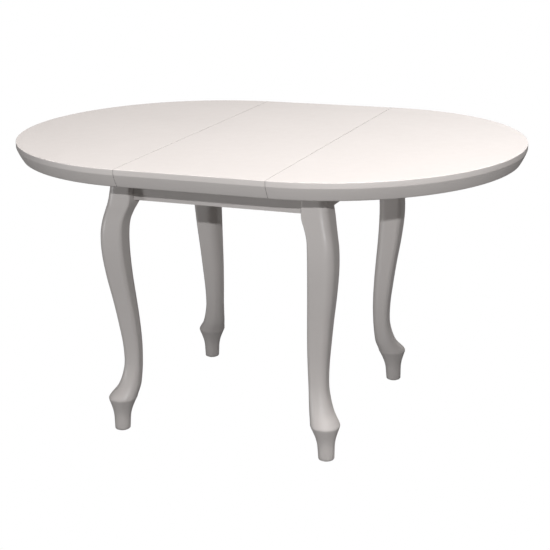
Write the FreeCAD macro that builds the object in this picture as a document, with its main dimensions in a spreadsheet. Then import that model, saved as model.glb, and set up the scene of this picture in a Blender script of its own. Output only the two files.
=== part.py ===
import FreeCAD, Part
import Sketcher
import math
import os
import re

# Extendable dining table: two half-round tops that draw apart on wooden runners, a drop-in
# leaf between them, and a fixed frame on four cabriole legs with pad feet.
# Millimetres. +X runs along the table's length, +Z is up, and the origin is on the floor under
# the middle of the extended top. Frame pieces are drawn about the frame's own centre, and each
# half top is drawn closed, with its seam at that centre. finished() then moves them to where
# they stand with the leaf in: the top sits frame_shift off the frame.

os.makedirs("parts", exist_ok=True)
doc = FreeCAD.newDocument("ExtendableTable")
sheet = doc.addObject("Spreadsheet::Sheet", "sizes")

SIZES = {
    # top
    "top_height": 745,
    "top_radius": 475,
    "leaf_width": 380,
    "seam_gap": 0.8,
    "panel_thickness": 20,
    "edge_depth": 25,
    "edge_band": 13,
    "bevel_inset": 16,
    "edge_ring_inner": 405,
    "arris_radius": 1.5,
    # where the halves stand, measured outwards from closed
    "frame_shift": -25,
    "left_draw": 165,
    "right_draw": 215,
    "full_draw": 240,
    # rails
    "post_inner": 226,
    "rail_front": 267,
    "rail_thickness": 22,
    "rail_bottom": 619,
    "rail_top": 724,
    "tenon_length": 18,
    "tenon_thickness": 10,
    "tenon_bottom": 634,
    "tenon_top": 704,
    "cross_rail_width": 60,
    "cross_rail_bottom": 640,
    "cross_tenon_length": 12,
    "cross_tenon_width": 40,
    "cross_tenon_height": 20,
    # slides: a fixed guide with a runner on each side of it
    "notch_bottom": 678,
    "notch_inner": 108,
    "notch_outer": 192,
    "guide_centre": 150,
    "guide_half_width": 15,
    "guide_half_length": 266,
    "guide_top": 722,
    "groove_centre": 700,
    "groove_mouth": 7,
    "groove_depth": 8,
    "groove_flare": 3,
    "runner_gap": 1,
    "runner_width": 25,
    "runner_bottom": 679.5,
    "runner_outer_end": 345,
    "runner_inner_end": 266,
    "key_root": 8,
    "key_length": 276,
    "key_clearance": 0.4,
    "key_end_clearance": 0.5,
    "stop_inset": 10,
    "stop_radius": 2.5,
    "stop_depth": 4.5,
    "stop_bottom": 684,
    "stop_clearance": 0.5,
    # battens under the tops
    "batten_thickness": 22,
    "batten_inner": 290,
    "batten_outer": 340,
    "cleat_thickness": 20,
    "cleat_width": 45,
    "cleat_side_gap": 0.8,
    "cleat_half_length": 168,
    # corner braces: each lies between the lines x + y = brace_inner_sum and brace_outer_sum
    "brace_bottom": 625,
    "brace_height": 47,
    "brace_inner_sum": 400,
    "brace_outer_sum": 431,
    "brace_screw_side": 170,
    "brace_screw_seat": 232,
    "brace_screw_low": 637,
    "brace_screw_high": 661,
    "access_radius": 5,
    "access_length": 24,
    # leg bolts, measured along the corner's diagonal; diagonal_share turns that into x and y
    "diagonal_share": math.sqrt(0.5),
    "bolt_height": 649,
    "bolt_radius": 4,
    "bolt_start": 269,
    "bolt_length": 90,
    "bolt_hole_radius": 4.5,
    "brace_face": 282.84,
    "washer_radius": 10,
    "washer_thickness": 1.6,
    "nut_circumradius": 7.5,
    "nut_thickness": 6.5,
    "nut_bore_radius": 4.05,
    # screws
    "screw_radius": 2.25,
    "screw_head_radius": 4.5,
    "screw_head_height": 2.6,
    "screw_point": 5,
    "runner_screw_length": 60,
    "runner_screw_outer": 315,
    "runner_screw_middle": 170,
    "runner_screw_inner": 25,
    "batten_screw_length": 36,
    "batten_screw_spread": 0.7,
    "cleat_screw_length": 34,
    "cleat_screw_spread": 0.8,
    "guide_screw_length": 75,
    "brace_screw_length": 30,
    # foot glides
    "glide_radius": 15,
    "glide_edge": 1,
    "glide_thickness": 2.5,
    "nail_radius": 1.2,
    "nail_top": 18,
    "foot_centre": 284,
}

# One leg drawn as level sections: height, how far the centre stands from both middle planes of
# the frame, half the width, and the share of that half width taken by the rounded corners.
LEG_SECTIONS = [
    (2.5, 284, 19.8, 0.95),     # sole
    (40, 283.1, 21.8, 0.95),    # foot
    (64, 282, 27.6, 0.95),
    (80, 281.2, 34, 0.95),
    (89, 280.2, 36.4, 0.95),    # rim of the pad
    (99, 276.5, 35.2, 0.95),    # toe
    (108, 272, 32.6, 0.95),
    (120, 266.4, 29.4, 0.94),   # instep
    (146, 260, 25.2, 0.9),
    (180, 255.6, 22.8, 0.8),    # ankle
    (232, 255.5, 23.7, 0.68),
    (292, 259.5, 26, 0.58),
    (352, 265, 27.9, 0.5),
    (420, 272.9, 30.9, 0.42),
    (485, 278, 32.6, 0.38),     # knee
    (535, 278.2, 32.3, 0.36),
    (566, 274.6, 31.1, 0.33),
    (590, 268, 31.8, 0.3),
    (612, 260.8, 33.2, 0.27),   # under the rails
    (640, 257.6, 31.5, 0.26),
    (676, 255.4, 29.4, 0.25),   # post
    (724, 255, 29, 0.25),
]


def slope_at(rows, i, column):
    """The slope of a smooth curve through one column of the rows, at row i."""
    before = max(i - 1, 0)
    after = min(i + 1, len(rows) - 1)
    return (rows[after][column] - rows[before][column]) / (rows[after][0] - rows[before][0])


def halfway(rows, i, column):
    """The smooth curve's value midway between rows i and i + 1."""
    step = rows[i + 1][0] - rows[i][0]
    bend = slope_at(rows, i, column) - slope_at(rows, i + 1, column)
    return (rows[i][column] + rows[i + 1][column]) / 2 + step * bend / 8


# Each drawn section and the one halfway to the next become a numbered section of the leg.
leg_levels = []
for i, section in enumerate(LEG_SECTIONS):
    leg_levels.append(section)
    if i + 1 < len(LEG_SECTIONS):
        height = (section[0] + LEG_SECTIONS[i + 1][0]) / 2
        leg_levels.append((height,) + tuple(halfway(LEG_SECTIONS, i, column) for column in (1, 2, 3)))

LEVEL_NAMES = ["leg_" + first + second for first in "abcdefg" for second in "abcdefg"][:len(leg_levels)]
for level, (height, centre, half_width, corner_share) in zip(LEVEL_NAMES, leg_levels):
    SIZES[level + "_height"] = height
    SIZES[level + "_centre"] = centre
    SIZES[level + "_half"] = half_width
    SIZES[level + "_corner"] = half_width * corner_share

for row, (alias, value) in enumerate(SIZES.items(), start=1):
    sheet.set("A%d" % row, alias)
    sheet.set("B%d" % row, str(value))
    sheet.setAlias("B%d" % row, alias)
doc.recompute()


# ---- drawing helpers ----

def in_sheet(words):
    """Turn sheet names in an expression into references, so 'a - b' reads sizes.a - sizes.b."""
    return re.sub(r"[a-z][a-z_]*", lambda match: "sizes." + match.group(), words)


def value_of(words):
    """The number that an expression of sheet names comes to."""
    return float(sheet.evalExpression(in_sheet(words)))


def sketch_on(body, name, plane, lift=None):
    """An empty sketch on one of the body's origin planes, lifted along its normal if asked."""
    sketch = body.newObject("Sketcher::SketchObject", name)
    support = next(item for item in body.Origin.OriginFeatures if item.Role == plane)
    sketch.AttachmentSupport = [(support, "")]
    sketch.MapMode = "FlatFace"
    if lift:
        sketch.setExpression(".AttachmentOffset.Base.z", in_sheet(lift))
    return sketch


def pin_point(sketch, geometry, point, across, up):
    """Fix one point of a sketch at two sheet expressions from the sketch's origin."""
    for kind, words in (("DistanceX", across), ("DistanceY", up)):
        distance = Sketcher.Constraint(kind, -1, 1, geometry, point, value_of(words))
        number = sketch.addConstraint(distance)
        sketch.setExpression("Constraints[%d]" % number, in_sheet(words))


def outline(body, name, plane, corners, lift=None):
    """A closed straight-sided outline whose corners are pairs of sheet expressions."""
    sketch = sketch_on(body, name, plane, lift)
    points = [FreeCAD.Vector(value_of(across), value_of(up), 0) for across, up in corners]
    count = len(points)
    for i in range(count):
        sketch.addGeometry(Part.LineSegment(points[i], points[(i + 1) % count]))
    for i in range(count):
        sketch.addConstraint(Sketcher.Constraint("Coincident", i, 2, (i + 1) % count, 1))
    for i, (across, up) in enumerate(corners):
        pin_point(sketch, i, 1, across, up)
    return sketch


def rectangle(left, right, bottom, top):
    """The four corners of a rectangle between four sheet expressions."""
    return [(left, bottom), (right, bottom), (right, top), (left, top)]


def add_pad(body, name, sketch, length, both_ways=True):
    """Pad a sketch by a sheet expression, to both sides of its plane unless told otherwise."""
    feature = body.newObject("PartDesign::Pad", name)
    feature.Profile = sketch
    feature.setExpression("Length", in_sheet(length))
    if both_ways:
        feature.SideType = "Symmetric"
    return feature


def add_pocket(body, name, sketch):
    """Cut a sketch right through the body, to both sides of its plane."""
    feature = body.newObject("PartDesign::Pocket", name)
    feature.Profile = sketch
    feature.SideType = "Symmetric"
    feature.Type = "ThroughAll"
    return feature


def add_turning(body, name, sketch, angle=360):
    """Turn a sketch about its upright axis."""
    feature = body.newObject("PartDesign::Revolution", name)
    feature.Profile = sketch
    feature.ReferenceAxis = (sketch, ["V_Axis"])
    feature.Angle = angle
    return feature


def group(name, members):
    """Several shapes handled as one."""
    compound = doc.addObject("Part::Compound", name)
    compound.Links = members
    return compound


def turned_copy(name, source, angle):
    """A copy of a shape turned about the frame's upright centre line."""
    copy = group(name, [source])
    copy.Placement = FreeCAD.Placement(FreeCAD.Vector(), FreeCAD.Rotation(FreeCAD.Vector(0, 0, 1), angle))
    return copy


def cut_by(name, blank, tools):
    """The blank with the tools' shapes taken out of it."""
    cut = doc.addObject("Part::Cut", name)
    cut.Base = blank
    cut.Tool = tools[0] if len(tools) == 1 else group(name + "_tools", tools)
    return cut


parts = {}


def finished(label, source, along="frame_shift", angle=0):
    """Name a piece and stand it in its place along the table."""
    part = doc.addObject("Part::Compound", label)
    part.Label = label
    part.Links = [source]
    part.Placement = FreeCAD.Placement(FreeCAD.Vector(), FreeCAD.Rotation(FreeCAD.Vector(0, 0, 1), angle))
    part.setExpression(".Placement.Base.x", in_sheet(along))
    parts[label] = part
    return part


# ---- screws ----
# A countersunk wood screw with its head's flat face at the origin and its point along +Z.

def make_screw(name, length):
    head = doc.addObject("Part::Cone", name + "_head")
    head.setExpression("Radius1", in_sheet("screw_head_radius"))
    head.setExpression("Radius2", in_sheet("screw_radius"))
    head.setExpression("Height", in_sheet("screw_head_height"))
    shank = doc.addObject("Part::Cylinder", name + "_shank")
    shank.setExpression("Radius", in_sheet("screw_radius"))
    shank.setExpression("Height", in_sheet(length + " - screw_point"))
    point = doc.addObject("Part::Cone", name + "_point")
    point.setExpression("Radius1", in_sheet("screw_radius"))
    point.Radius2 = 0
    point.setExpression("Height", in_sheet("screw_point"))
    point.setExpression(".Placement.Base.z", in_sheet(length + " - screw_point"))
    screw = doc.addObject("Part::MultiFuse", name)
    screw.Shapes = [head, shank, point]
    return screw


def place(name, source, x, y, z, direction=(0, 0, 1)):
    """A copy of a shape drawn along +Z, moved to a point and aimed along a direction."""
    copy = group(name, [source])
    aim = FreeCAD.Rotation(FreeCAD.Vector(0, 0, 1), FreeCAD.Vector(*direction))
    copy.Placement = FreeCAD.Placement(FreeCAD.Vector(), aim)
    copy.setExpression(".Placement.Base.x", in_sheet(x))
    copy.setExpression(".Placement.Base.y", in_sheet(y))
    copy.setExpression(".Placement.Base.z", in_sheet(z))
    return copy


runner_screw = make_screw("runner_screw", "runner_screw_length")
batten_screw = make_screw("batten_screw", "batten_screw_length")
cleat_screw = make_screw("cleat_screw", "cleat_screw_length")
guide_screw = make_screw("guide_screw", "guide_screw_length")
brace_screw = make_screw("brace_screw", "brace_screw_length")

CORNERS = {"back_right": 0, "back_left": 90, "front_left": 180, "front_right": 270}
SIDES = {"front": "-1", "back": "1"}
PANEL_UNDERSIDE = "top_height - panel_thickness"


# ---- rails ----
# Boards tenoned into the legs. The end rails are notched from above for the slides.

def make_rail(name, notched):
    body = doc.addObject("PartDesign::Body", name + "_board")
    board = rectangle("-post_inner", "post_inner", "rail_bottom", "rail_top")
    add_pad(body, name + "_face", outline(body, name + "_outline", "XZ_Plane", board), "rail_thickness")
    tenon = rectangle("-post_inner - tenon_length", "post_inner + tenon_length", "tenon_bottom",
                      "tenon_top")
    add_pad(body, name + "_tenons", outline(body, name + "_tenon", "XZ_Plane", tenon), "tenon_thickness")
    if notched:
        for side, sign in SIDES.items():
            notch = rectangle(sign + " * notch_inner", sign + " * notch_outer", "notch_bottom",
                              "rail_top + rail_thickness")
            sketch = outline(body, name + "_notch_" + side, "XZ_Plane", notch)
            add_pocket(body, name + "_pocket_" + side, sketch)
    return body


RAIL_CENTRE = "rail_front - rail_thickness / 2"
long_rail = make_rail("long_rail", notched=False)
end_rail = make_rail("end_rail", notched=True)
rail_blanks = {
    "front": place("front_rail_blank", long_rail, "0", "-(" + RAIL_CENTRE + ")", "0"),
    "back": place("back_rail_blank", long_rail, "0", RAIL_CENTRE, "0"),
}
for side, sign in (("left", "-1"), ("right", "1")):
    blank = place(side + "_rail_blank", end_rail, sign + " * (" + RAIL_CENTRE + ")", "0", "0")
    blank.Placement.Rotation = FreeCAD.Rotation(FreeCAD.Vector(0, 0, 1), 90)
    rail_blanks[side] = blank

# The cross rail ties the long rails under the slides and carries the guides' middles.
cross_body = doc.addObject("PartDesign::Body", "cross_rail_body")
RAIL_INNER = "(rail_front - rail_thickness)"
CROSS_MIDDLE = "(cross_rail_bottom + notch_bottom) / 2"
cross_side = rectangle("-" + RAIL_INNER, RAIL_INNER, "cross_rail_bottom", "notch_bottom")
cross_tenon = rectangle("-" + RAIL_INNER + " - cross_tenon_length", RAIL_INNER + " + cross_tenon_length",
                        CROSS_MIDDLE + " - cross_tenon_height / 2",
                        CROSS_MIDDLE + " + cross_tenon_height / 2")
add_pad(cross_body, "cross_board", outline(cross_body, "cross_outline", "YZ_Plane", cross_side),
        "cross_rail_width")
add_pad(cross_body, "cross_tenons", outline(cross_body, "cross_tenon", "YZ_Plane", cross_tenon),
        "cross_tenon_width")


# ---- corner braces, with their screws and the leg bolts, drawn at the back right corner ----

brace_body = doc.addObject("PartDesign::Body", "brace_body")
BRACE_NEAR = "brace_inner_sum - " + RAIL_INNER
BRACE_FAR = "brace_outer_sum - " + RAIL_INNER
brace_plan = [(RAIL_INNER, BRACE_NEAR), (RAIL_INNER, BRACE_FAR),
              (BRACE_FAR, RAIL_INNER), (BRACE_NEAR, RAIL_INNER)]
add_pad(brace_body, "brace_block", outline(brace_body, "brace_plan", "XY_Plane", brace_plan, "brace_bottom"),
        "brace_height", both_ways=False)


def make_cylinder(name, radius, height):
    cylinder = doc.addObject("Part::Cylinder", name)
    cylinder.setExpression("Radius", in_sheet(radius))
    cylinder.setExpression("Height", in_sheet(height))
    return cylinder


access_hole = make_cylinder("access_hole", "access_radius", "access_length")
corner_screws = []
access_holes = []
for level in ("low", "high"):
    height = "brace_screw_" + level
    along_x = ("brace_screw_seat", "brace_screw_side", height)
    along_y = ("brace_screw_side", "brace_screw_seat", height)
    corner_screws.append(place("corner_screw_x_" + level, brace_screw, *along_x, direction=(1, 0, 0)))
    corner_screws.append(place("corner_screw_y_" + level, brace_screw, *along_y, direction=(0, 1, 0)))
    access_holes.append(place("access_x_" + level, access_hole, *along_x, direction=(-1, 0, 0)))
    access_holes.append(place("access_y_" + level, access_hole, *along_y, direction=(0, -1, 0)))
corner_screw_set = group("corner_screw_set", corner_screws)


def on_diagonal(name, source, distance):
    """A shape drawn along +Z laid outwards along the corner's diagonal at bolt height."""
    across = "(" + distance + ") * diagonal_share"
    return place(name, source, across, across, "bolt_height", direction=(1, 1, 0))


leg_bolt = on_diagonal("leg_bolt", make_cylinder("bolt_rod", "bolt_radius", "bolt_length"), "bolt_start")
bolt_hole = on_diagonal("bolt_hole", make_cylinder("bolt_hole_rod", "bolt_hole_radius", "bolt_length"),
                        "bolt_start")
washer_disc = make_cylinder("washer_disc", "washer_radius", "washer_thickness")
washer = cut_by("washer", washer_disc, [make_cylinder("washer_hole", "bolt_hole_radius", "washer_thickness")])
nut_prism = doc.addObject("Part::Prism", "nut_prism")
nut_prism.Polygon = 6
nut_prism.setExpression("Circumradius", in_sheet("nut_circumradius"))
nut_prism.setExpression("Height", in_sheet("nut_thickness"))
nut = cut_by("nut", nut_prism, [make_cylinder("nut_bore", "nut_bore_radius", "nut_thickness")])
leg_washer = on_diagonal("leg_washer", washer, "brace_face - washer_thickness")
leg_nut = on_diagonal("leg_nut", nut, "brace_face - washer_thickness - nut_thickness")
brace = cut_by("brace", brace_body, [corner_screw_set, bolt_hole] + access_holes)


# ---- foot glides ----
# A nylon disc with a nail up into the foot.

glide_body = doc.addObject("PartDesign::Body", "glide_body")
glide_side = [("0", "0"), ("glide_radius - glide_edge", "0"), ("glide_radius", "glide_edge"),
              ("glide_radius", "glide_thickness"), ("nail_radius", "glide_thickness"),
              ("nail_radius", "nail_top"), ("0", "nail_top")]
add_turning(glide_body, "glide_turning", outline(glide_body, "glide_side", "XZ_Plane", glide_side))
glide = place("glide", glide_body, "foot_centre", "foot_centre", "0")


# ---- legs ----
# A rounded square section that follows the cabriole curve in both directions.

def rounded_square(body, section):
    """A square with rounded corners, centred on the corner's diagonal."""
    centre = section + "_centre"
    half = section + "_half"
    corner = section + "_corner"
    sketch = sketch_on(body, section, "XY_Plane", section + "_height")
    middle = value_of(centre)
    reach = value_of(half)
    radius = value_of(corner)
    flat = reach - radius
    turns = [(1, 1, 0), (-1, 1, 90), (-1, -1, 180), (1, -1, 270)]
    for across, up, start in turns:
        pivot = FreeCAD.Vector(middle + across * flat, middle + up * flat, 0)
        circle = Part.Circle(pivot, FreeCAD.Vector(0, 0, 1), radius)
        sketch.addGeometry(Part.ArcOfCircle(circle, math.radians(start), math.radians(start + 90)))
    for i in range(4):
        start = sketch.getPoint(i, 2)
        end = sketch.getPoint((i + 1) % 4, 1)
        sketch.addGeometry(Part.LineSegment(start, end))
    for i in range(4):
        sketch.addConstraint(Sketcher.Constraint("Tangent", i, 2, 4 + i, 1))
        sketch.addConstraint(Sketcher.Constraint("Tangent", 4 + i, 2, (i + 1) % 4, 1))
    for i, (across, up, start) in enumerate(turns):
        inset = "(" + half + " - " + corner + ")"
        pivot_across = "%s + %d * %s" % (centre, across, inset)
        pivot_up = "%s + %d * %s" % (centre, up, inset)
        pin_point(sketch, i, 3, pivot_across, pivot_up)
        number = sketch.addConstraint(Sketcher.Constraint("Radius", i, radius))
        sketch.setExpression("Constraints[%d]" % number, in_sheet(corner))
    return sketch


leg_body = doc.addObject("PartDesign::Body", "leg_body")
leg_sketches = [rounded_square(leg_body, level) for level in LEVEL_NAMES]
doc.recompute()
leg_loft = leg_body.newObject("PartDesign::AdditiveLoft", "leg_loft")
leg_loft.Profile = leg_sketches[0]
leg_loft.Sections = leg_sketches[1:]
leg_loft.Ruled = True

all_brace_screws = []
all_bolts = []
all_washers = []
all_nuts = []
for corner, angle in CORNERS.items():
    end, side = corner.split("_")
    bolt = turned_copy("bolt_" + corner, leg_bolt, angle)
    foot_glide = turned_copy("glide_" + corner, glide, angle)
    leg_blank = turned_copy("leg_blank_" + corner, leg_body, angle)
    leg = cut_by("leg_cut_" + corner, leg_blank, [rail_blanks[end], rail_blanks[side], bolt, foot_glide])
    finished("leg_" + corner, leg)
    finished("foot_glide_" + corner, glide, angle=angle)
    finished("corner_brace_" + corner, brace, angle=angle)
    all_brace_screws.append(turned_copy("brace_screws_" + corner, corner_screw_set, angle))
    all_bolts.append(bolt)
    all_washers.append(turned_copy("washer_" + corner, leg_washer, angle))
    all_nuts.append(turned_copy("nut_" + corner, leg_nut, angle))
brace_screw_group = group("brace_screw_group", all_brace_screws)
finished("brace_screws", brace_screw_group)
finished("leg_bolts", group("bolt_group", all_bolts))
finished("leg_bolt_washers", group("washer_group", all_washers))
finished("leg_bolt_nuts", group("nut_group", all_nuts))


# ---- guides ----
# Fixed bars that lie in the end rails' notches, with a dovetail groove along each side.

guide_screws = []
stop_pins = []
guide_blanks = {}
stop_pin = make_cylinder("stop_pin", "stop_radius", "guide_top - stop_bottom")
MOUTH_LOW = "groove_centre - groove_mouth"
MOUTH_HIGH = "groove_centre + groove_mouth"
FLARE_LOW = MOUTH_LOW + " - groove_flare"
FLARE_HIGH = MOUTH_HIGH + " + groove_flare"
for side, sign in SIDES.items():
    inner = sign + " * (guide_centre - guide_half_width)"
    outer = sign + " * (guide_centre + guide_half_width)"
    inner_deep = sign + " * (guide_centre - guide_half_width + groove_depth)"
    outer_deep = sign + " * (guide_centre + guide_half_width - groove_depth)"
    section = [(inner, "notch_bottom"), (outer, "notch_bottom"),
               (outer, MOUTH_LOW), (outer_deep, FLARE_LOW), (outer_deep, FLARE_HIGH), (outer, MOUTH_HIGH),
               (outer, "guide_top"), (inner, "guide_top"),
               (inner, MOUTH_HIGH), (inner_deep, FLARE_HIGH), (inner_deep, FLARE_LOW), (inner, MOUTH_LOW)]
    body = doc.addObject("PartDesign::Body", side + "_guide_body")
    sketch = outline(body, side + "_guide_section", "YZ_Plane", section)
    add_pad(body, side + "_guide_bar", sketch, "2 * guide_half_length")
    middle = sign + " * guide_centre"
    screws = [place(side + "_guide_screw_" + spot, guide_screw, x, middle, "guide_top", direction=(0, 0, -1))
              for spot, x in (("left", "-(" + RAIL_CENTRE + ")"), ("middle", "0"), ("right", RAIL_CENTRE))]
    stop_x = "(guide_half_length - stop_inset)"
    outer_stop = sign + " * (guide_centre + guide_half_width - stop_depth)"
    inner_stop = sign + " * (guide_centre - guide_half_width + stop_depth)"
    stops = [place(side + "_stop_left", stop_pin, "-" + stop_x, outer_stop, "stop_bottom"),
             place(side + "_stop_right", stop_pin, stop_x, inner_stop, "stop_bottom")]
    guide_blanks[side] = cut_by(side + "_guide_cut", body, screws + stops)
    guide_screws.extend(screws)
    stop_pins.extend(stops)
    finished(side + "_slide_guide", guide_blanks[side])
guide_screw_group = group("guide_screw_group", guide_screws)
finished("guide_screws", guide_screw_group)
finished("slide_stop_pins", group("stop_pin_group", stop_pins))

finished("cross_rail", cut_by("cross_rail_cut", cross_body, [guide_screw_group]))
for side in ("front", "back"):
    tools = [cross_body, brace_screw_group]
    finished(side + "_rail", cut_by(side + "_rail_cut", rail_blanks[side], tools))
for side in ("left", "right"):
    tools = [guide_screw_group, brace_screw_group]
    finished(side + "_rail", cut_by(side + "_rail_cut", rail_blanks[side], tools))


# ---- half tops ----
# Each is drawn closed with its round edge towards -X, and the right one is then turned about.
# The left half's runners lie outside the guides and the right half's inside them.

BEVEL_AT_PANEL = "bevel_inset * (panel_thickness - edge_band) / (panel_thickness + edge_depth - edge_band)"
EDGE_UNDERSIDE = "top_height - panel_thickness - edge_depth"
KEY_START = "full_draw - guide_half_length + stop_inset + stop_radius + stop_clearance"


def round_top_arris(body, name):
    """Ease the long upper edges at the rim of a top panel."""
    doc.recompute()
    tip = body.Tip
    top = value_of("top_height")
    rim = []
    for number, edge in enumerate(tip.Shape.Edges, start=1):
        box = edge.BoundBox
        level = box.ZMin > top - 0.01
        at_rim = box.YMax > value_of("top_radius") - 0.01 or box.YMin < 0.01 - value_of("top_radius")
        along_rim = box.XLength > 1
        if level and at_rim and along_rim:
            rim.append("Edge%d" % number)
    feature = body.newObject("PartDesign::Fillet", name)
    feature.Base = (tip, rim)
    feature.setExpression("Radius", in_sheet("arris_radius"))


def make_half_blanks():
    """The half-round panel and the build-up glued under its rim."""
    panel = doc.addObject("PartDesign::Body", "half_panel_body")
    panel_side = [("0", PANEL_UNDERSIDE), ("top_radius - " + BEVEL_AT_PANEL, PANEL_UNDERSIDE),
                  ("top_radius", "top_height - edge_band"), ("top_radius", "top_height"), ("0", "top_height")]
    add_turning(panel, "half_panel", outline(panel, "half_panel_side", "YZ_Plane", panel_side), 180)
    round_top_arris(panel, "half_panel_arris")
    ring = doc.addObject("PartDesign::Body", "half_edge_body")
    ring_side = [("edge_ring_inner", EDGE_UNDERSIDE), ("top_radius - bevel_inset", EDGE_UNDERSIDE),
                 ("top_radius - " + BEVEL_AT_PANEL, PANEL_UNDERSIDE), ("edge_ring_inner", PANEL_UNDERSIDE)]
    add_turning(ring, "half_edge", outline(ring, "half_edge_side", "YZ_Plane", ring_side), 180)
    return panel, ring


def make_runner(name, sign, offset, towards):
    """A runner and the dovetail key glued into its side, which rides in the guide's groove."""
    centre = "%s * (%s)" % (sign, offset)
    face = "%s * (%s + %s * runner_width / 2)" % (sign, offset, towards)

    def out(distance):
        """A place measured from the runner's face towards the guide."""
        return "%s + %s * %s * (%s)" % (face, sign, towards, distance)

    blank = doc.addObject("PartDesign::Body", name + "_bar")
    side = rectangle("-runner_outer_end", "runner_inner_end", "runner_bottom", PANEL_UNDERSIDE)
    sketch = outline(blank, name + "_outline", "XZ_Plane", side, "-(" + centre + ")")
    add_pad(blank, name + "_length", sketch, "runner_width")
    key = doc.addObject("PartDesign::Body", name + "_key_bar")
    neck = "(groove_mouth - key_clearance)"
    depth = "(groove_depth - key_end_clearance)"
    tip = "(groove_mouth - key_clearance + groove_flare * %s / groove_depth)" % depth
    root_at = out("-key_root")
    neck_at = out("runner_gap")
    tip_at = out("runner_gap + " + depth)
    section = [(root_at, "groove_centre - " + neck), (neck_at, "groove_centre - " + neck),
               (tip_at, "groove_centre - " + tip), (tip_at, "groove_centre + " + tip),
               (neck_at, "groove_centre + " + neck), (root_at, "groove_centre + " + neck)]
    key_sketch = outline(key, name + "_key_section", "YZ_Plane", section, KEY_START)
    add_pad(key, name + "_key_length", key_sketch, "key_length", both_ways=False)
    return blank, key, centre


half_panel, half_edge = make_half_blanks()
RUNNER_STEP = "guide_half_width + runner_gap + runner_width / 2"
HALVES = {
    "left": (0, "frame_shift - left_draw", "guide_centre + " + RUNNER_STEP, "-1"),
    "right": (180, "frame_shift + right_draw", "guide_centre - (" + RUNNER_STEP + ")", "1"),
}
BATTEN_UNDERSIDE = PANEL_UNDERSIDE + " - batten_thickness"
BATTEN_MIDDLE = "-(batten_outer + batten_inner) / 2"
for half, (angle, along, offset, towards) in HALVES.items():
    screws = []
    for side, sign in SIDES.items():
        local_sign = sign if angle == 0 else str(-int(sign))
        name = "%s_runner_%s" % (half, side)
        bar, key, centre = make_runner(name, local_sign, offset, towards)
        bar_screws = [place(name + "_screw_" + spot, runner_screw, "-runner_screw_" + spot, centre,
                            "runner_bottom")
                      for spot in ("outer", "middle", "inner")]
        screws.extend(bar_screws)
        finished(name, cut_by(name + "_cut", bar, [key] + bar_screws), along, angle)
        finished("%s_slide_key_%s" % (half, side), key, along, angle)
    batten = doc.addObject("PartDesign::Body", half + "_batten_body")
    reach = "(" + offset + " - runner_width / 2)"
    plan = rectangle("-batten_outer", "-batten_inner", "-" + reach, reach)
    batten_sketch = outline(batten, half + "_batten_plan", "XY_Plane", plan, BATTEN_UNDERSIDE)
    add_pad(batten, half + "_batten_board", batten_sketch, "batten_thickness", both_ways=False)
    batten_screws = [place("%s_batten_screw_%s" % (half, spot), batten_screw, BATTEN_MIDDLE, y,
                           BATTEN_UNDERSIDE)
                     for spot, y in (("front", "-batten_screw_spread * " + reach), ("middle", "0"),
                                     ("back", "batten_screw_spread * " + reach))]
    screws.extend(batten_screws)
    finished(half + "_end_batten", cut_by(half + "_batten_cut", batten, batten_screws), along, angle)
    finished(half + "_top_panel", cut_by(half + "_panel_cut", half_panel, screws), along, angle)
    finished(half + "_top_edge", half_edge, along, angle)
    finished(half + "_top_screws", group(half + "_screw_group", screws), along, angle)


# ---- leaf ----
# A straight panel with the same edge, and two cleats that drop between the inner runners.

leaf_panel = doc.addObject("PartDesign::Body", "leaf_panel_body")
LEAF_UNDERSIDE_HALF = "(top_radius - %s)" % BEVEL_AT_PANEL
leaf_side = [("-" + LEAF_UNDERSIDE_HALF, PANEL_UNDERSIDE), (LEAF_UNDERSIDE_HALF, PANEL_UNDERSIDE),
             ("top_radius", "top_height - edge_band"), ("top_radius", "top_height"),
             ("-top_radius", "top_height"), ("-top_radius", "top_height - edge_band")]
LEAF_LENGTH = "leaf_width - 2 * seam_gap"
add_pad(leaf_panel, "leaf_board", outline(leaf_panel, "leaf_side", "YZ_Plane", leaf_side), LEAF_LENGTH)
round_top_arris(leaf_panel, "leaf_arris")
cleat_screws = []
for side, sign in SIDES.items():
    edge = doc.addObject("PartDesign::Body", "leaf_edge_%s_body" % side)
    section = [(sign + " * edge_ring_inner", EDGE_UNDERSIDE),
               (sign + " * (top_radius - bevel_inset)", EDGE_UNDERSIDE),
               (sign + " * " + LEAF_UNDERSIDE_HALF, PANEL_UNDERSIDE),
               (sign + " * edge_ring_inner", PANEL_UNDERSIDE)]
    add_pad(edge, "leaf_edge_%s_strip" % side, outline(edge, "leaf_edge_%s_side" % side, "YZ_Plane", section),
            LEAF_LENGTH)
    finished("leaf_edge_" + side, edge, "0")
    cleat = doc.addObject("PartDesign::Body", "leaf_cleat_%s_body" % side)
    outer = "(guide_centre - (%s) - runner_width / 2 - cleat_side_gap)" % RUNNER_STEP
    cleat_section = rectangle("%s * (%s - cleat_width)" % (sign, outer), "%s * %s" % (sign, outer),
                              PANEL_UNDERSIDE + " - cleat_thickness", PANEL_UNDERSIDE)
    cleat_sketch = outline(cleat, "leaf_cleat_%s_section" % side, "YZ_Plane", cleat_section)
    add_pad(cleat, "leaf_cleat_%s_bar" % side, cleat_sketch, "2 * cleat_half_length")
    cleat_y = "%s * (%s - cleat_width / 2)" % (sign, outer)
    screws = [place("cleat_screw_%s_%s" % (side, spot), cleat_screw, x, cleat_y,
                    PANEL_UNDERSIDE + " - cleat_thickness")
              for spot, x in (("left", "-cleat_screw_spread * cleat_half_length"), ("middle", "0"),
                              ("right", "cleat_screw_spread * cleat_half_length"))]
    cleat_screws.extend(screws)
    finished("leaf_cleat_" + side, cut_by("leaf_cleat_%s_cut" % side, cleat, screws), "0")
finished("leaf_panel", cut_by("leaf_panel_cut", leaf_panel, cleat_screws), "0")
finished("leaf_cleat_screws", group("cleat_screw_group", cleat_screws), "0")


# ---- check and write ----

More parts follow.
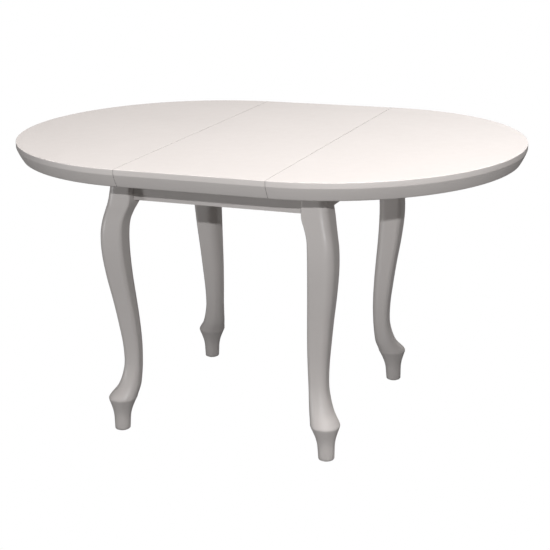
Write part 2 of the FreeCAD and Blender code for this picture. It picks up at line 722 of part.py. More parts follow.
doc.recompute()
for item in doc.Objects:
    if "Invalid" in item.State or "Error" in item.State:
        raise RuntimeError("%s did not build: %s" % (item.Label, item.State))
for label, part in parts.items():
    shape = part.Shape
    if shape.isNull() or not shape.isValid() or not shape.Solids:
        raise RuntimeError(label + " has no valid solid")
    shape.exportStep("parts/%s.step" % label)
print(len(parts), "parts written")
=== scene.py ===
import math

import bmesh
import bpy
from mathutils import Matrix, Vector


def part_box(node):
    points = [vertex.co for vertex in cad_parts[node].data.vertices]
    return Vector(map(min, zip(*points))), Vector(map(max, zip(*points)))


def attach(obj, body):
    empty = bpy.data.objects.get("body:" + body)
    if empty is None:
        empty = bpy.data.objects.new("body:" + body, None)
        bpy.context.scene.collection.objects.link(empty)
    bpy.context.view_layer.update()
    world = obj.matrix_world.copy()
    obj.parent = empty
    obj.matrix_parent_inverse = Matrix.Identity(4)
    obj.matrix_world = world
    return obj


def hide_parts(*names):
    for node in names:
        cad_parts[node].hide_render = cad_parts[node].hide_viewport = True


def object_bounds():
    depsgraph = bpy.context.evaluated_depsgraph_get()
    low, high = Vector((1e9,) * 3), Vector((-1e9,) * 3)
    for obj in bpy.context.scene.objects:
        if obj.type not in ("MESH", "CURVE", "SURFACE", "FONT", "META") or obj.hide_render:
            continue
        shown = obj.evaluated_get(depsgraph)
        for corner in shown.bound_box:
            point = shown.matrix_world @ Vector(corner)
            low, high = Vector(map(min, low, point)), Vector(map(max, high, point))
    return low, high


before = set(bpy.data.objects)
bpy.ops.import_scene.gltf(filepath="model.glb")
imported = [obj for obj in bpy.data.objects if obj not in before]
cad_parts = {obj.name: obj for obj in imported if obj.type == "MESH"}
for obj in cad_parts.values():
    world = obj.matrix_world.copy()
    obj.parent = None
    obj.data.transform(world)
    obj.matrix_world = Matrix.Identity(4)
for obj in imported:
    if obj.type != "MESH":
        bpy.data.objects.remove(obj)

cad_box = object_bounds()

# ---------------------------------------------------------------- legs
# Each leg is sawn and spokeshaved from one square blank: a square post where the rails are
# tenoned in, a knee, a slim ankle and a turned pad foot. The outer corner is well rounded all the
# way down, and the others soften towards the foot. Sprayed with the same satin paint as the top.

LEG_FORM = [    # height, distance of the centre from the frame's two middle planes, half width, and
    # the share of the half width rounded off the outer corner, the side corners, the inner corner
    (0.0025, 0.2840, 0.0188, 0.95, 0.95, 0.95),
    (0.0040, 0.2840, 0.0197, 0.95, 0.95, 0.95),
    (0.0400, 0.2831, 0.0217, 0.95, 0.95, 0.95),
    (0.0560, 0.2824, 0.0248, 0.95, 0.95, 0.95),
    (0.0700, 0.2817, 0.0294, 0.95, 0.95, 0.95),
    (0.0820, 0.2810, 0.0341, 0.95, 0.95, 0.95),
    (0.0880, 0.2803, 0.0364, 0.95, 0.95, 0.95),
    (0.0905, 0.2799, 0.0366, 0.95, 0.95, 0.95),
    (0.0970, 0.2776, 0.0356, 0.95, 0.95, 0.95),
    (0.1060, 0.2730, 0.0332, 0.95, 0.94, 0.95),
    (0.1200, 0.2664, 0.0294, 0.94, 0.82, 0.95),
    (0.1460, 0.2602, 0.0252, 0.84, 0.64, 0.95),
    (0.1800, 0.2560, 0.0227, 0.76, 0.54, 0.95),
    (0.2320, 0.2558, 0.0236, 0.72, 0.48, 0.95),
    (0.2920, 0.2598, 0.0260, 0.69, 0.44, 0.95),
    (0.3520, 0.2654, 0.0281, 0.67, 0.40, 0.95),
    (0.4200, 0.2729, 0.0308, 0.66, 0.37, 0.88),
    (0.4850, 0.2779, 0.0325, 0.66, 0.34, 0.76),
    (0.5350, 0.2781, 0.0322, 0.66, 0.30, 0.64),
    (0.5660, 0.2746, 0.0311, 0.65, 0.26, 0.52),
    (0.5900, 0.2680, 0.0318, 0.64, 0.22, 0.36),
    (0.6120, 0.2608, 0.0332, 0.63, 0.18, 0.18),
    (0.6400, 0.2576, 0.0315, 0.62, 0.16, 0.16),
    (0.6760, 0.2554, 0.0294, 0.62, 0.16, 0.14),
    (0.7240, 0.2550, 0.0290, 0.62, 0.16, 0.13),
]
FRAME_MIDDLE = (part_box("leg_front_left")[0].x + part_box("leg_front_right")[1].x) / 2
CORNER_SIGNS = [(1, 1, 3), (-1, 1, 4), (-1, -1, 5), (1, -1, 4)]     # and the share's column
ROUNDEST = 0.95     # each side keeps a narrow flat between its rounded corners
CORNER_STEPS = 8
SIDE_STEPS = 6
RING_SPACING = 0.006    # along the height


def smooth_value(rows, height, column):
    """A smooth curve through one column of rows that start with a height."""
    last = len(rows) - 2
    i = min(max(k for k in range(len(rows)) if rows[k][0] <= height + 1e-9), last)
    span = rows[i + 1][0] - rows[i][0]

    def slope(k):
        before = max(k - 1, 0)
        after = min(k + 1, len(rows) - 1)
        return (rows[after][column] - rows[before][column]) / (rows[after][0] - rows[before][0])

    t = (height - rows[i][0]) / span
    start = rows[i][column]
    end = rows[i + 1][column]
    return (start * (2 * t ** 3 - 3 * t ** 2 + 1) + span * slope(i) * (t ** 3 - 2 * t ** 2 + t)
            + end * (3 * t ** 2 - 2 * t ** 3) + span * slope(i + 1) * (t ** 3 - t ** 2))


def leg_outline(height):
    """The rounded square section at a height, for the leg that stands at +X +Y."""
    centre = smooth_value(LEG_FORM, height, 1)
    half = smooth_value(LEG_FORM, height, 2)
    arcs = []
    for quarter, (across, up, column) in enumerate(CORNER_SIGNS):
        radius = half * min(smooth_value(LEG_FORM, height, column), ROUNDEST)
        middle = Vector((centre + across * (half - radius), centre + up * (half - radius)))
        angles = [math.radians(90 * (quarter + k / CORNER_STEPS)) for k in range(CORNER_STEPS + 1)]
        arcs.append([middle + radius * Vector((math.cos(angle), math.sin(angle))) for angle in angles])
    points = []
    for arc, following in zip(arcs, arcs[1:] + arcs[:1]):
        points += arc
        points += [arc[-1].lerp(following[0], k / SIDE_STEPS) for k in range(1, SIDE_STEPS)]
    return [point.to_3d() + Vector((0, 0, height)) for point in points]


def mesh_piece(name, vertices, faces, smooth=True):
    """A new mesh object at the origin, linked into the scene."""
    mesh = bpy.data.meshes.new(name)
    mesh.from_pydata([tuple(v) for v in vertices], [], faces)
    mesh.validate()
    mesh.update()
    for polygon in mesh.polygons:
        polygon.use_smooth = smooth
    piece = bpy.data.objects.new(name, mesh)
    bpy.context.scene.collection.objects.link(piece)
    return piece


def make_leg(name, turn):
    """One leg, turned about the frame's middle into its corner."""
    heights = []
    for low, high in zip(LEG_FORM[:-1], LEG_FORM[1:]):
        steps = max(2, round((high[0] - low[0]) / RING_SPACING))
        heights += [low[0] + (high[0] - low[0]) * k / steps for k in range(steps)]
    heights.append(LEG_FORM[-1][0])
    rings = [leg_outline(height) for height in heights]
    count = len(rings[0])
    place = Matrix.Translation((FRAME_MIDDLE, 0, 0)) @ Matrix.Rotation(math.radians(turn), 4, "Z")
    vertices = [place @ point for ring in rings for point in ring]
    faces = []
    for r in range(len(rings) - 1):
        for k in range(count):
            n = (k + 1) % count
            faces.append((r * count + k, r * count + n, (r + 1) * count + n, (r + 1) * count + k))
    faces.append(tuple(reversed(range(count))))
    top = (len(rings) - 1) * count
    faces.append(tuple(range(top, top + count)))
    leg = mesh_piece(name, vertices, faces)
    for polygon in leg.data.polygons[-2:]:
        polygon.use_smooth = False
    return leg


def shader_group(name, inputs, outputs):
    """An empty shader node group with named sockets; returns it with its two end nodes."""
    group = bpy.data.node_groups.new(name, "ShaderNodeTree")
    for label, kind, value in inputs:
        socket = group.interface.new_socket(label, in_out="INPUT", socket_type=kind)
        socket.default_value = value
    for label, kind in outputs:
        group.interface.new_socket(label, in_out="OUTPUT", socket_type=kind)
    return group, group.nodes.new("NodeGroupInput"), group.nodes.new("NodeGroupOutput")


def add_node(tree, kind, inputs=None, **settings):
    """A node with its settings; inputs maps socket names or numbers to values or sockets."""
    node = tree.nodes.new(kind)
    for key, value in settings.items():
        setattr(node, key, value)
    for key, value in (inputs or {}).items():
        if isinstance(value, bpy.types.NodeSocket):
            tree.links.new(value, node.inputs[key])
        else:
            node.inputs[key].default_value = value
    return node


def math_node(tree, operation, first, second):
    """One arithmetic step, as a socket."""
    node = add_node(tree, "ShaderNodeMath", {0: first, 1: second}, operation=operation)
    return node.outputs[0]


def blend_colours(tree, factor, first, second):
    """Two colours mixed by a factor, as a socket."""
    node = add_node(tree, "ShaderNodeMix", {0: factor, 6: first, 7: second}, data_type="RGBA")
    return node.outputs[2]


# Sprayed paint: a very fine orange-peel skin, slow drifts in tone and sheen where coats overlap.
spray, spray_in, spray_out = shader_group(
    "sprayed skin",
    [("Peel Size", "NodeSocketFloat", 900.0), ("Drift Size", "NodeSocketFloat", 5.0)],
    [("Height", "NodeSocketFloat"), ("Tone", "NodeSocketFloat"), ("Sheen", "NodeSocketFloat")])
where = add_node(spray, "ShaderNodeTexCoord").outputs["Object"]
peel = add_node(spray, "ShaderNodeTexNoise",
                {"Vector": where, "Scale": spray_in.outputs["Peel Size"], "Detail": 2.0,
                 "Roughness": 0.45})
drift = add_node(spray, "ShaderNodeTexNoise",
                 {"Vector": where, "Scale": spray_in.outputs["Drift Size"], "Detail": 3.0,
                  "Roughness": 0.5})
sheen = add_node(spray, "ShaderNodeTexNoise",
                 {"Vector": where, "Scale": 38.0, "Detail": 4.0, "Roughness": 0.6})
spray.links.new(peel.outputs[0], spray_out.inputs["Height"])
spray.links.new(drift.outputs[0], spray_out.inputs["Tone"])
spray.links.new(sheen.outputs[0], spray_out.inputs["Sheen"])

# Timber grain: long wavering streaks along one direction with short open pores between them.
grain, grain_in, grain_out = shader_group(
    "timber grain",
    [("Stretch", "NodeSocketVector", (6.0, 160.0, 160.0)), ("Waver", "NodeSocketFloat", 0.6)],
    [("Streaks", "NodeSocketFloat"), ("Pores", "NodeSocketFloat"), ("Height", "NodeSocketFloat")])
where = add_node(grain, "ShaderNodeTexCoord").outputs["Object"]
waver = add_node(grain, "ShaderNodeTexNoise", {"Vector": where, "Scale": 4.0, "Detail": 2.0})
shift = add_node(grain, "ShaderNodeVectorMath", {0: waver.outputs[1], 1: (0.5, 0.5, 0.5)},
                 operation="SUBTRACT")
waver_size = math_node(grain, "MULTIPLY", grain_in.outputs["Waver"], 0.02)
amount = add_node(grain, "ShaderNodeVectorMath", {0: shift.outputs[0], "Scale": waver_size},
                  operation="SCALE")
moved = add_node(grain, "ShaderNodeVectorMath", {0: where, 1: amount.outputs[0]}, operation="ADD")
stretched = add_node(grain, "ShaderNodeVectorMath",
                     {0: moved.outputs[0], 1: grain_in.outputs["Stretch"]}, operation="MULTIPLY")
streak_noise = add_node(grain, "ShaderNodeTexNoise",
                        {"Vector": stretched.outputs[0], "Scale": 1.0, "Detail": 4.0, "Roughness": 0.62})
fine = add_node(grain, "ShaderNodeVectorMath", {0: stretched.outputs[0], "Scale": 5.0},
                operation="SCALE")
pore_noise = add_node(grain, "ShaderNodeTexNoise",
                      {"Vector": fine.outputs[0], "Scale": 1.0, "Detail": 2.0})
pores = add_node(grain, "ShaderNodeMapRange",
                 {"Value": pore_noise.outputs[0], "From Min": 0.60, "From Max": 0.74},
                 interpolation_type="SMOOTHSTEP")
grain_height = math_node(grain, "SUBTRACT", streak_noise.outputs[0], pores.outputs[0])
grain.links.new(streak_noise.outputs[0], grain_out.inputs["Streaks"])
grain.links.new(pores.outputs[0], grain_out.inputs["Pores"])
grain.links.new(grain_height, grain_out.inputs["Height"])


def use_group(tree, group, **values):
    """One placed copy of a node group, with its inputs set by name."""
    node = tree.nodes.new("ShaderNodeGroup")
    node.node_tree = group
    for key, value in values.items():
        node.inputs[key.replace("_", " ")].default_value = value
    return node


def new_material(name):
    """A node material with its Principled shader."""
    material = bpy.data.materials.new(name)
    material.use_nodes = True
    return material, material.node_tree, material.node_tree.nodes["Principled BSDF"]


def set_bump(tree, shader, height, distance):
    """Feed a height into the shader's normal."""
    bump = add_node(tree, "ShaderNodeBump", {"Height": height, "Distance": distance, "Strength": 1.0})
    tree.links.new(bump.outputs[0], shader.inputs["Normal"])


PAINT_COLOUR = (0.520, 0.492, 0.474, 1)
PAINT_THIN = (0.556, 0.527, 0.508, 1)
PAINT_DEEP = (0.484, 0.458, 0.440, 1)


def painted_wood(name, stretch):
    """Warm light grey satin paint over sanded timber whose grain only just tells through it."""
    material, tree, shader = new_material(name)
    skin = use_group(tree, spray)
    wood = use_group(tree, grain, Stretch=stretch, Waver=0.7)
    tone = blend_colours(tree, skin.outputs["Tone"], PAINT_DEEP, PAINT_THIN)
    tone = blend_colours(tree, 0.6, tone, PAINT_COLOUR)
    telling = math_node(tree, "MULTIPLY", wood.outputs["Streaks"], 0.12)
    tone = blend_colours(tree, telling, tone, PAINT_DEEP)
    tree.links.new(tone, shader.inputs["Base Color"])
    rough = add_node(tree, "ShaderNodeMapRange",
                     {"Value": skin.outputs["Sheen"], "From Min": 0.3, "From Max": 0.7,
                      "To Min": 0.46, "To Max": 0.55})
    tree.links.new(rough.outputs[0], shader.inputs["Roughness"])
    shader.inputs["Coat Weight"].default_value = 0.1
    shader.inputs["Coat Roughness"].default_value = 0.22
    relief = math_node(tree, "ADD", math_node(tree, "MULTIPLY", skin.outputs["Height"], 0.5),
                       math_node(tree, "MULTIPLY", wood.outputs["Streaks"], 0.3))
    set_bump(tree, shader, relief, 0.00005)
    return material


paint_upright = painted_wood("satin paint on the legs", (160.0, 160.0, 6.0))
CORNER_TURNS = {"back_right": 0, "back_left": 90, "front_left": 180, "front_right": 270}
for corner, turn in CORNER_TURNS.items():
    leg = make_leg("cabriole_leg_" + corner, turn)
    leg.data.materials.append(paint_upright)
    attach(leg, "frame")
    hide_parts("leg_" + corner)


# ---------------------------------------------------------------- half tops and leaf
# Three boards with strips glued under their rims, to make the edges look thicker. A rim has an
# upright band and below it a slightly rounded bevel that runs in to the underside.

TOP = cad_box[1].z
HALF_WIDTH = cad_box[1].y
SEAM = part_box("right_top_panel")[0].x
BOARD_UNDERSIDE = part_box("left_top_panel")[0].z
EDGE_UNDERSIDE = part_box("left_top_edge")[0].z
RING_INNER = 0.405      # radius inside the glued strip
BAND = 0.013            # height of the upright band
BEVEL_INSET = 0.016     # how far the bevel runs in at its foot
ARRIS = 0.0016          # rounding between the band and the top
STRIP_EASE = 0.0012     # rounding at the bevel's foot
SEAM_EASE = 0.00025     # rounding of the edges along the seams


def bevel_inset(height):
    """How far in from the band the bevel is at a height: an arc that starts close to upright."""
    down = (TOP - BAND - height) / (TOP - BAND - EDGE_UNDERSIDE)
    return BEVEL_INSET * (0.72 * down + 0.28 * down ** 2)


def rim_profile():
    """Inset and height round the board's rim, from its underside up to the flat of the top."""
    profile = []
    steps = 4
    for k in range(steps):
        height = BOARD_UNDERSIDE + (TOP - BAND - BOARD_UNDERSIDE) * k / steps
        profile.append((bevel_inset(height), height))
    profile.append((0.0, TOP - BAND))
    arris_steps = 6
    for k in range(arris_steps + 1):
        angle = math.radians(90 * k / arris_steps)
        profile.append((ARRIS * (1 - math.cos(angle)), TOP - ARRIS + ARRIS * math.sin(angle)))
    return profile


def strip_profile():
    """Inset and height round the glued strip, from its inner foot round its outside."""
    inner = HALF_WIDTH - RING_INNER
    profile = [(inner, BOARD_UNDERSIDE), (inner, EDGE_UNDERSIDE),
               (BEVEL_INSET + STRIP_EASE, EDGE_UNDERSIDE)]
    steps = 8
    low = EDGE_UNDERSIDE + STRIP_EASE
    for k in range(steps + 1):
        height = low + (BOARD_UNDERSIDE - low) * k / steps
        profile.append((bevel_inset(height), height))
    return profile


def run_profile(profile, path, closed_with_fill):
    """A board or strip whose profile follows a path of (point, outward direction) pairs."""
    vertices = []
    for point, outward in path:
        for inset, height in profile:
            vertices.append((point.x - outward.x * inset, point.y - outward.y * inset, height))
    count = len(profile)
    faces = []
    for i in range(len(path) - 1):
        for k in range(count - 1):
            a = i * count + k
            faces.append((a, a + count, a + count + 1, a + 1))
        if not closed_with_fill:
            a = i * count + count - 1
            faces.append((a, a + count, i * count + count, i * count))
    end = (len(path) - 1) * count
    if closed_with_fill:
        faces.append(tuple(i * count for i in range(len(path) - 1, -1, -1)))
        faces.append(tuple(i * count + count - 1 for i in range(len(path))))
    return vertices, faces, count, end


def half_path(side):
    """Points round the rim of a half top, from seam to seam, with their outward directions."""
    steps = 128
    path = []
    for k in range(steps + 1):
        angle = math.radians(-90 + 180 * k / steps)
        outward = Vector((side * math.cos(angle), side * math.sin(angle)))
        path.append((Vector((side * SEAM, 0)) + HALF_WIDTH * outward, outward))
    return path


def finish_board(piece, width):
    """Take the sharpness off the remaining edges and keep the flats flat."""
    bevel = piece.modifiers.new("eased edges", "BEVEL")
    bevel.width = width
    bevel.segments = 2
    bevel.limit_method = "ANGLE"
    bevel.angle_limit = math.radians(50)
    bevel.harden_normals = False
    normals = piece.modifiers.new("flat faces stay flat", "WEIGHTED_NORMAL")
    normals.keep_sharp = True
    normals.weight = 80


def make_half_board(name, side):
    """The half-round board."""
    profile = rim_profile()
    path = half_path(side)
    vertices, faces, count, end = run_profile(profile, path, True)
    faces.append(tuple(list(range(count)) + list(range(end + count - 1, end - 1, -1))))
    return mesh_piece(name, vertices, faces)


def make_half_strip(name, side):
    """The curved strip under the half top's rim."""
    profile = strip_profile()
    vertices, faces, count, end = run_profile(profile, half_path(side), False)
    faces.append(tuple(range(count)))
    faces.append(tuple(range(end + count - 1, end - 1, -1)))
    return mesh_piece(name, vertices, faces)


def fix_normals(piece):
    """Point every face outwards."""
    bm = bmesh.new()
    bm.from_mesh(piece.data)
    bmesh.ops.recalc_face_normals(bm, faces=bm.faces)
    bm.to_mesh(piece.data)
    bm.free()


paint_top = painted_wood("satin paint on the boards", (160.0, 5.0, 160.0))

# The faces that meet at the seams are a darker grey: painted shade, so that the seams read as dark
# lines.
joint_shade, tree, shader = new_material("painted shade on the joint faces")
skin = use_group(tree, spray)
tone = blend_colours(tree, skin.outputs["Tone"], (0.125, 0.120, 0.115, 1), (0.185, 0.178, 0.170, 1))
tree.links.new(tone, shader.inputs["Base Color"])
shader.inputs["Roughness"].default_value = 0.6
set_bump(tree, shader, skin.outputs["Height"], 0.00005)


def paint_board(piece):
    """Paint all round, and the darker painted shade on the joint faces, which are the flat faces square
    to X.
    """
    piece.data.materials.append(paint_top)
    # the second material is the darker painted shade for the joint faces
    piece.data.materials.append(joint_shade)
    for polygon in piece.data.polygons:
        if abs(polygon.normal.x) > 0.999 and abs(abs(polygon.center.x) - abs(SEAM)) < 0.002:
            polygon.material_index = 1


SIDES = {"left": -1, "right": 1}
for half, side in SIDES.items():
    board = make_half_board(half + "_half_board", side)
    strip = make_half_strip(half + "_rim_strip", side)
    for piece, node in ((board, half + "_top_panel"), (strip, half + "_top_edge")):
        fix_normals(piece)
        paint_board(piece)
        finish_board(piece, SEAM_EASE)
        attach(piece, half + "_half")
        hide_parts(node)

leaf_low, leaf_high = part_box("leaf_panel")


def leaf_path(front):
    """The two ends of a straight stretch of rim on one long side of the leaf."""
    outward = Vector((0, -1 if front else 1))
    ends = (leaf_low.x, leaf_high.x)
    return [(Vector((x, outward.y * HALF_WIDTH)), outward) for x in ends]


def make_leaf_board():
    """The straight board, with the rim profile along its two free sides."""
    profile = rim_profile()
    section = [(-HALF_WIDTH + inset, height) for inset, height in profile]
    section += [(HALF_WIDTH - inset, height) for inset, height in reversed(profile)]
    count = len(section)
    vertices = [(x, y, z) for x in (leaf_low.x, leaf_high.x) for y, z in section]
    faces = [(k, (k + 1) % count, count + (k + 1) % count, count + k) for k in range(count)]
    faces.append(tuple(range(count)))
    faces.append(tuple(range(2 * count - 1, count - 1, -1)))
    return mesh_piece("leaf_board", vertices, faces)


def make_leaf_strip(name, front):
    """The straight strip under one free side of the leaf."""
    profile = strip_profile()
    vertices, faces, count, end = run_profile(profile, leaf_path(front), False)
    faces.append(tuple(range(count)))
    faces.append(tuple(range(end + count - 1, end - 1, -1)))
    return mesh_piece(name, vertices, faces)


leaf_pieces = [(make_leaf_board(), "leaf_panel"),
               (make_leaf_strip("leaf_rim_strip_front", True), "leaf_edge_front"),
               (make_leaf_strip("leaf_rim_strip_back", False), "leaf_edge_back")]
for piece, node in leaf_pieces:
    fix_normals(piece)
    paint_board(piece)
    finish_board(piece, SEAM_EASE)
    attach(piece, "leaf")
    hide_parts(node)


# ---------------------------------------------------------------- rails
# Boards tenoned into the legs and painted with them, their long edges just eased.

paint_level = painted_wood("satin paint on the rails", (5.0, 160.0, 160.0))


def dress(node, material, ease):
    """Give a piece that keeps its shape its finish, and ease its sawn edges."""
    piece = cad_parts[node]
    for slot in piece.material_slots:
        slot.material = material
    if ease:
        finish_board(piece, ease)


RAIL_EASE = 0.0010
for node in ("front_rail", "back_rail"):
    dress(node, paint_level, RAIL_EASE)
for half in SIDES:
    paint_end = painted_wood("satin paint on the %s rail" % half, (160.0, 5.0, 160.0))
    dress(half + "_rail", paint_end, RAIL_EASE)


# ---------------------------------------------------------------- guides, runners and keys
# Straight-grained beech, planed and waxed so that it slides. The keys are glued into the
# runners and ride in the guides' dovetail grooves; steel pins stop them at the ends.

BEECH = (0.56, 0.36, 0.20, 1)
BEECH_DARK = (0.40, 0.235, 0.12, 1)
BEECH_FLECK = (0.30, 0.17, 0.085, 1)


def bare_wood(name, stretch, light, dark, pore, rough_from, rough_to, depth):
    """Planed timber with streaks of early and late wood, and pores cut open by the plane."""
    material, tree, shader = new_material(name)
    wood = use_group(tree, grain, Stretch=stretch, Waver=1.4)
    streak = add_node(tree, "ShaderNodeMapRange",
                      {"Value": wood.outputs["Streaks"], "From Min": 0.32, "From Max": 0.68})
    colour = blend_colours(tree, streak.outputs[0], light, dark)
    fleck = math_node(tree, "MULTIPLY", wood.outputs["Pores"], 0.55)
    colour = blend_colours(tree, fleck, colour, pore)
    tree.links.new(colour, shader.inputs["Base Color"])
    rough = add_node(tree, "ShaderNodeMapRange",
                     {"Value": wood.outputs["Streaks"], "To Min": rough_from, "To Max": rough_to})
    tree.links.new(rough.outputs[0], shader.inputs["Roughness"])
    set_bump(tree, shader, wood.outputs["Height"], depth)
    return material


beech = bare_wood("waxed beech", (7.0, 190.0, 190.0), BEECH, BEECH_DARK, BEECH_FLECK,
                  0.34, 0.48, 0.00012)
for side in ("front", "back"):
    dress(side + "_slide_guide", beech, 0.0006)
    for half in SIDES:
        dress("%s_runner_%s" % (half, side), beech, 0.0008)
        dress("%s_slide_key_%s" % (half, side), beech, 0.0003)


# ---------------------------------------------------------------- braces, cross rail, battens
# Plain sanded pine that nobody sees: it keeps the frame square and the boards flat.

PINE = (0.66, 0.47, 0.27, 1)
PINE_RING = (0.50, 0.30, 0.14, 1)
PINE_RESIN = (0.36, 0.19, 0.08, 1)
PINE_FINISH = (PINE, PINE_RING, PINE_RESIN, 0.5, 0.66, 0.00015)
pine_across = bare_wood("pine along the width", (60.0, 4.0, 60.0), *PINE_FINISH)
pine_along = bare_wood("pine along the length", (4.0, 60.0, 60.0), *PINE_FINISH)
for corner in CORNER_TURNS:
    dress("corner_brace_" + corner, pine_across, 0.0010)
dress("cross_rail", pine_across, 0.0010)
for half in SIDES:
    dress(half + "_end_batten", pine_across, 0.0012)
for side in ("front", "back"):
    dress("leaf_cleat_" + side, pine_along, 0.0015)


# ---------------------------------------------------------------- screws, bolts and pins
# Zinc-plated steel, dulled by handling and finely scratched by the driver.

zinc, tree, shader = new_material("zinc plate")
where = add_node(tree, "ShaderNodeTexCoord").outputs["Object"]
cloud = add_node(tree, "ShaderNodeTexNoise", {"Vector": where, "Scale": 260.0, "Detail": 4.0})
scratch_axis = add_node(tree, "ShaderNodeVectorMath", {0: where, 1: (3000.0, 3000.0, 90.0)},
                        operation="MULTIPLY")
scratch = add_node(tree, "ShaderNodeTexNoise",
                   {"Vector": scratch_axis.outputs[0], "Scale": 1.0, "Detail": 2.0})
tint = blend_colours(tree, cloud.outputs[0], (0.62, 0.62, 0.60, 1), (0.74, 0.72, 0.66, 1))
tree.links.new(tint, shader.inputs["Base Color"])
shader.inputs["Metallic"].default_value = 1.0
dull = add_node(tree, "ShaderNodeMapRange", {"Value": scratch.outputs[0], "To Min": 0.22, "To Max": 0.5})
tree.links.new(dull.outputs[0], shader.inputs["Roughness"])
set_bump(tree, shader, scratch.outputs[0], 0.00003)
for node in ("leg_bolts", "leg_bolt_washers", "leg_bolt_nuts", "brace_screws", "guide_screws",
             "slide_stop_pins", "left_top_screws", "right_top_screws", "leaf_cleat_screws"):
    dress(node, zinc, 0)


# ---------------------------------------------------------------- foot glides
# Natural nylon discs nailed under the feet, scuffed by the floor.

nylon, tree, shader = new_material("natural nylon")
where = add_node(tree, "ShaderNodeTexCoord").outputs["Object"]
scuff = add_node(tree, "ShaderNodeTexNoise",
                 {"Vector": where, "Scale": 320.0, "Detail": 5.0, "Roughness": 0.7})
tint = blend_colours(tree, scuff.outputs[0], (0.66, 0.64, 0.58, 1), (0.80, 0.79, 0.74, 1))
tree.links.new(tint, shader.inputs["Base Color"])
dull = add_node(tree, "ShaderNodeMapRange", {"Value": scuff.outputs[0], "To Min": 0.4, "To Max": 0.62})
tree.links.new(dull.outputs[0], shader.inputs["Roughness"])
set_bump(tree, shader, scuff.outputs[0], 0.00008)
for corner in CORNER_TURNS:
    dress("foot_glide_" + corner, nylon, 0.0003)


# ---------------------------------------------------------------- studio
# A pale floor and surround that look white to the camera. A small hard key light close to the
# camera throws the top's shadow on the legs and rails, and a low light comes from the left;
# broad soft lights come from the ceiling, from behind, from overhead and, weakly, from the right.

FLOOR_REACH = 9.0
floor_corners = [(x * FLOOR_REACH, y * FLOOR_REACH, 0) for x, y in ((-1, -1), (1, -1), (1, 1), (-1, 1))]
floor = mesh_piece("floor", floor_corners, [(0, 1, 2, 3)], smooth=False)
floor_material, tree, shader = new_material("pale floor")
shader.inputs["Base Color"].default_value = (0.16, 0.159, 0.158, 1)
shader.inputs["Roughness"].default_value = 0.9
shader.inputs["Specular IOR Level"].default_value = 0.1
white = add_node(tree, "ShaderNodeEmission", {"Color": (1, 1, 1, 1), "Strength": 1.0})
clear = tree.nodes.new("ShaderNodeBsdfTransparent")
facing = tree.nodes.new("ShaderNodeNewGeometry")
light_path = tree.nodes.new("ShaderNodeLightPath")
to_camera = light_path.outputs["Is Camera Ray"]
from_above = add_node(tree, "ShaderNodeMixShader",
                      {0: to_camera, 1: shader.outputs[0], 2: white.outputs[0]})
pick = add_node(tree, "ShaderNodeMixShader",
                {0: facing.outputs["Backfacing"], 1: from_above.outputs[0], 2: clear.outputs[0]})
tree.links.new(pick.outputs[0], tree.nodes["Material Output"].inputs["Surface"])
floor.data.materials.append(floor_material)

bpy.context.scene.view_settings.view_transform = "Standard"
world = bpy.data.worlds.new("studio")
bpy.context.scene.world = world
world.use_nodes = True
tree = world.node_tree
surround = tree.nodes["Background"]
surround.inputs["Color"].default_value = (1.0, 0.985, 0.97, 1)
surround.inputs["Strength"].default_value = 0.02
backdrop = add_node(tree, "ShaderNodeBackground", {"Color": (1, 1, 1, 1), "Strength": 1.0})
light_path = tree.nodes.new("ShaderNodeLightPath")
pick = add_node(tree, "ShaderNodeMixShader",
                {0: light_path.outputs["Is Camera Ray"], 1: surround.outputs[0], 2: backdrop.outputs[0]})
tree.links.new(pick.outputs[0], tree.nodes["World Output"].inputs["Surface"])


def add_light(name, kind, energy, spot, target, **settings):
    """A light at a spot, aimed at a target."""
    data = bpy.data.lights.new(name, kind)
    data.energy = energy
    for key, value in settings.items():
        setattr(data, key, value)
    light = bpy.data.objects.new(name, data)
    light.location = spot
    light.rotation_euler = (Vector(target) - Vector(spot)).to_track_quat("-Z", "Y").to_euler()
    bpy.context.scene.collection.objects.link(light)


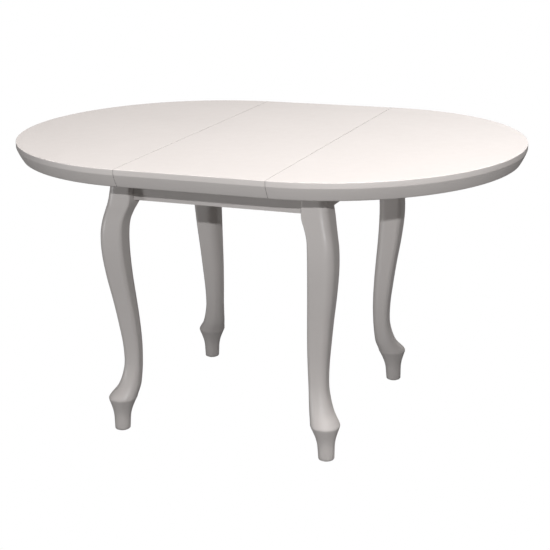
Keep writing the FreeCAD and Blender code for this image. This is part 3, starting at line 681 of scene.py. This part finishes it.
COOL = (0.98, 0.985, 1.0)
WARM = (1.0, 0.98, 0.975)
CENTRE = (0, 0, 0.6)
add_light("key", "POINT", 262.0, (1.52, -3.38, 1.80), CENTRE, shadow_soft_size=0.02, color=COOL)
add_light("low left", "SUN", 0.95, (-1.0, -0.7, 0.63), CENTRE, angle=math.radians(10), color=COOL)
add_light("ceiling", "SUN", 1.6, (0.1, -0.1, 1.6), CENTRE, angle=math.radians(50), color=WARM)
add_light("behind", "SUN", 1.55, (0.1, 1.0, 1.4), CENTRE, angle=math.radians(40), color=WARM)
add_light("overhead", "AREA", 62.0, (0.8, -0.9, 2.9), (0.2, 0, 0.7), shape="RECTANGLE", size=1.4,
          size_y=1.0, color=WARM)
add_light("right", "AREA", 4.6, (2.2, -0.9, 1.0), (0.4, 0, 0.65), shape="RECTANGLE", size=0.8,
          size_y=0.8, color=WARM)

# The camera stands to the right of the table's front, a little above a seated person's head.
CAMERA_SPOT = (1.27402, -3.08526, 1.40701)
CAMERA_YAW = 0.3873
CAMERA_PITCH = 0.3017
CAMERA_ROLL = -0.0198
camera_data = bpy.data.cameras.new("camera")
camera_data.sensor_width = 36.0
camera_data.lens = 86.14
camera = bpy.data.objects.new("camera", camera_data)
forward = Vector((-math.sin(CAMERA_YAW) * math.cos(CAMERA_PITCH),
                  math.cos(CAMERA_YAW) * math.cos(CAMERA_PITCH), -math.sin(CAMERA_PITCH)))
level = Vector((math.cos(CAMERA_YAW), math.sin(CAMERA_YAW), 0))
upright = level.cross(forward)
right = level * math.cos(CAMERA_ROLL) + upright * math.sin(CAMERA_ROLL)
up = upright * math.cos(CAMERA_ROLL) - level * math.sin(CAMERA_ROLL)
camera.matrix_world = Matrix((
    (right.x, up.x, -forward.x, CAMERA_SPOT[0]),
    (right.y, up.y, -forward.y, CAMERA_SPOT[1]),
    (right.z, up.z, -forward.z, CAMERA_SPOT[2]),
    (0, 0, 0, 1)))
bpy.context.scene.collection.objects.link(camera)
bpy.context.scene.camera = camera
